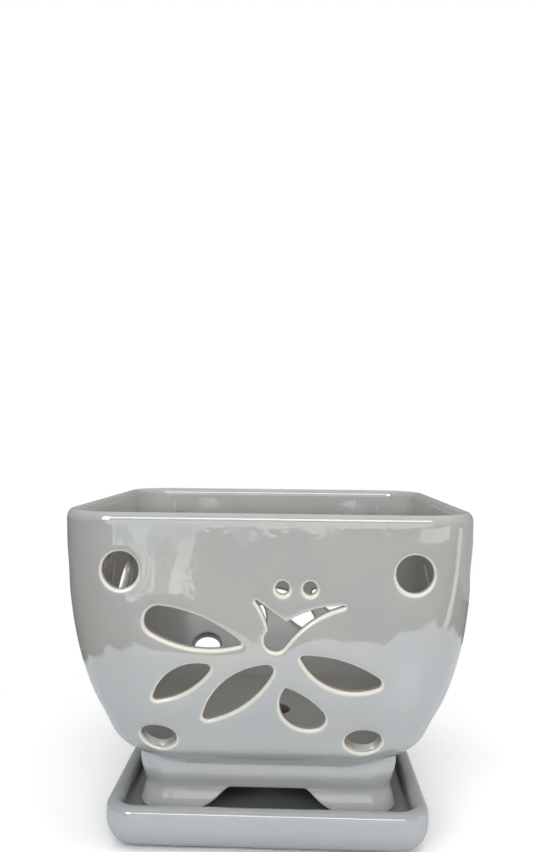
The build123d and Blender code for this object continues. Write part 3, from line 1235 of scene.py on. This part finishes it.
panel("window_left", (-0.75, -1.2, 0.8), (0, 0, 0.1), 0.35, 0.6, 4.5)
panel("ceiling", (0.0, -0.2, 1.5), (0, 0, 0.1), 1.6, 1.6, 15.0, mirrored=False)
panel("front_bank", (0.1, -1.5, 1.1), (0, 0, 0.12), 1.6, 0.4, 7.0)
panel("front_fill", (0.0, -1.35, 0.65), (0, 0, 0.08), 1.4, 0.7, 8.5, mirrored=False)
panel("back_fill", (0.0, 1.5, 0.9), (0, 0, 0.08), 1.4, 0.7, 7.0, mirrored=False)
panel("left_fill", (-1.5, 0.2, 0.7), (0, 0, 0.08), 0.8, 0.7, 3.0, mirrored=False)
panel("right_fill", (1.5, -0.5, 0.6), (0, 0, 0.1), 0.6, 1.0, 10.0, False, (1.0, 0.92, 0.87))
print("lights", [light.name for light in bpy.data.lights])

# %% [markdown]
# Pale cards stand round the object, out of sight of the camera. Only the glaze shows
# them: the curtained window on the front, a second one at the right corner, the light
# edge of a door down that corner, and the wall and the room behind the photographer.
# Streaks of a stretched noise break their light up, as a curtain does.


# %% Cards that only the glaze mirrors
STREAKS = (60, 60, 14)
STREAK_SPAN = 0.38, 0.62
TINT_HEIGHTS = 0.03, 0.09


def mirror_card(name, cards, low_tint, high_tint, faint, strong):
    """Upright rectangles, seen by mirrored rays alone, that glow in soft streaks.

    A card is its two ends on the ground plan and its two heights, in metres. The tint
    runs from the lower one at 3 cm above the table to the upper one at 9 cm.
    """
    corners = []
    for (x0, y0), (x1, y1), low, high in cards:
        corners += [(x0, y0, low), (x1, y1, low), (x1, y1, high), (x0, y0, high)]
    faces = [tuple(range(first, first + 4)) for first in range(0, len(corners), 4)]
    material, tree, shader = new_material(name)
    tree.nodes.remove(shader)
    place = add_node(tree, "TexCoord").outputs["Object"]
    streaked = add_node(tree, "Mapping", {"Vector": place, "Scale": STREAKS}).outputs["Vector"]
    level = span(tree, noise(tree, streaked, 1.0, 3.0), *STREAK_SPAN, faint, strong)
    height = add_node(tree, "SeparateXYZ", {"Vector": place}).outputs["Z"]
    up = span(tree, height, *TINT_HEIGHTS)
    tint = mix_colours(tree, up, (*low_tint, 1), (*high_tint, 1))
    glow = add_node(tree, "Emission", {"Color": tint, "Strength": level})
    feed(tree, tree.nodes["Material Output"].inputs["Surface"], glow.outputs[0])
    card = flat_sheet(name, corners, faces, material)
    card.visible_camera = card.visible_diffuse = card.visible_shadow = False


window = (
    ((-0.25, -0.62), (-0.1, -0.65), 0.018, 0.112),
    ((-0.1, -0.65), (0.06, -0.66), 0.093, 0.112),
)
corner_window = (((0.15, -0.53), (0.45, -0.25), 0.09, 0.121),)
door_edge = (((0.3, -0.095), (0.3, -0.055), 0.002, 0.135),)
warm_wall = (((0.5, -0.02), (0.3, 0.5), 0.002, 0.16),)
far_wall = (((-0.9, -1.55), (0.9, -1.55), 0.03, 0.5),)
mirror_card("window_card", window, (0.9, 1.0, 0.82), (0.86, 0.96, 1.0), 0.4, 1.6)
mirror_card("corner_window_card", corner_window, (0.85, 1, 0.9), (1.0, 0.97, 0.86), 0.8, 1.3)
mirror_card("door_edge_card", door_edge, (1.0, 0.98, 0.95), (1.0, 1.0, 1.0), 0.9, 1.8)
mirror_card("warm_wall_card", warm_wall, (1.0, 0.87, 0.82), (1.0, 0.9, 0.86), 0.4, 0.55)
mirror_card("far_wall_card", far_wall, (0.9, 0.96, 1.0), (0.9, 0.96, 1.0), 1.0, 1.3)

# %% [markdown]
# ## Camera
# The camera stands where the picture was taken, a little above the rim. Its place, in
# millimetres, and its turns, in radians, were fitted to the pot's outline. A lens's
# length over the sensor's width is as the focal length, in pixels, over the picture's.

# %% Camera
FOCAL = 778.54
PICTURE = 852
SENSOR = 36.0
NEAREST = 0.01
PAN, TILT, ROLL = 0.0356, -0.0220, 0.0094
EYE = (12.155, -457.77, 199.6)

camera = put("camera", bpy.data.cameras.new("camera"))
bpy.context.scene.camera = camera
camera.data.sensor_width = SENSOR
camera.data.lens = FOCAL * SENSOR / PICTURE
camera.data.clip_start = NEAREST
cos_pan, sin_pan = math.cos(PAN), math.sin(PAN)
level = np.array((cos_pan, sin_pan, 0))
upright = np.array((-sin_pan * math.sin(TILT), cos_pan * math.sin(TILT), math.cos(TILT)))
right = math.cos(ROLL) * level + math.sin(ROLL) * upright
up = -math.sin(ROLL) * level + math.cos(ROLL) * upright
turn = np.eye(4)
turn[:3] = np.stack((right, up, np.cross(right, up), np.array(EYE) * MM), 1)
camera.matrix_world = mathutils.Matrix(turn.tolist())
bpy.context.scene.view_settings.view_transform = "Standard"
print("lens", round(camera.data.lens, 2), "mm")
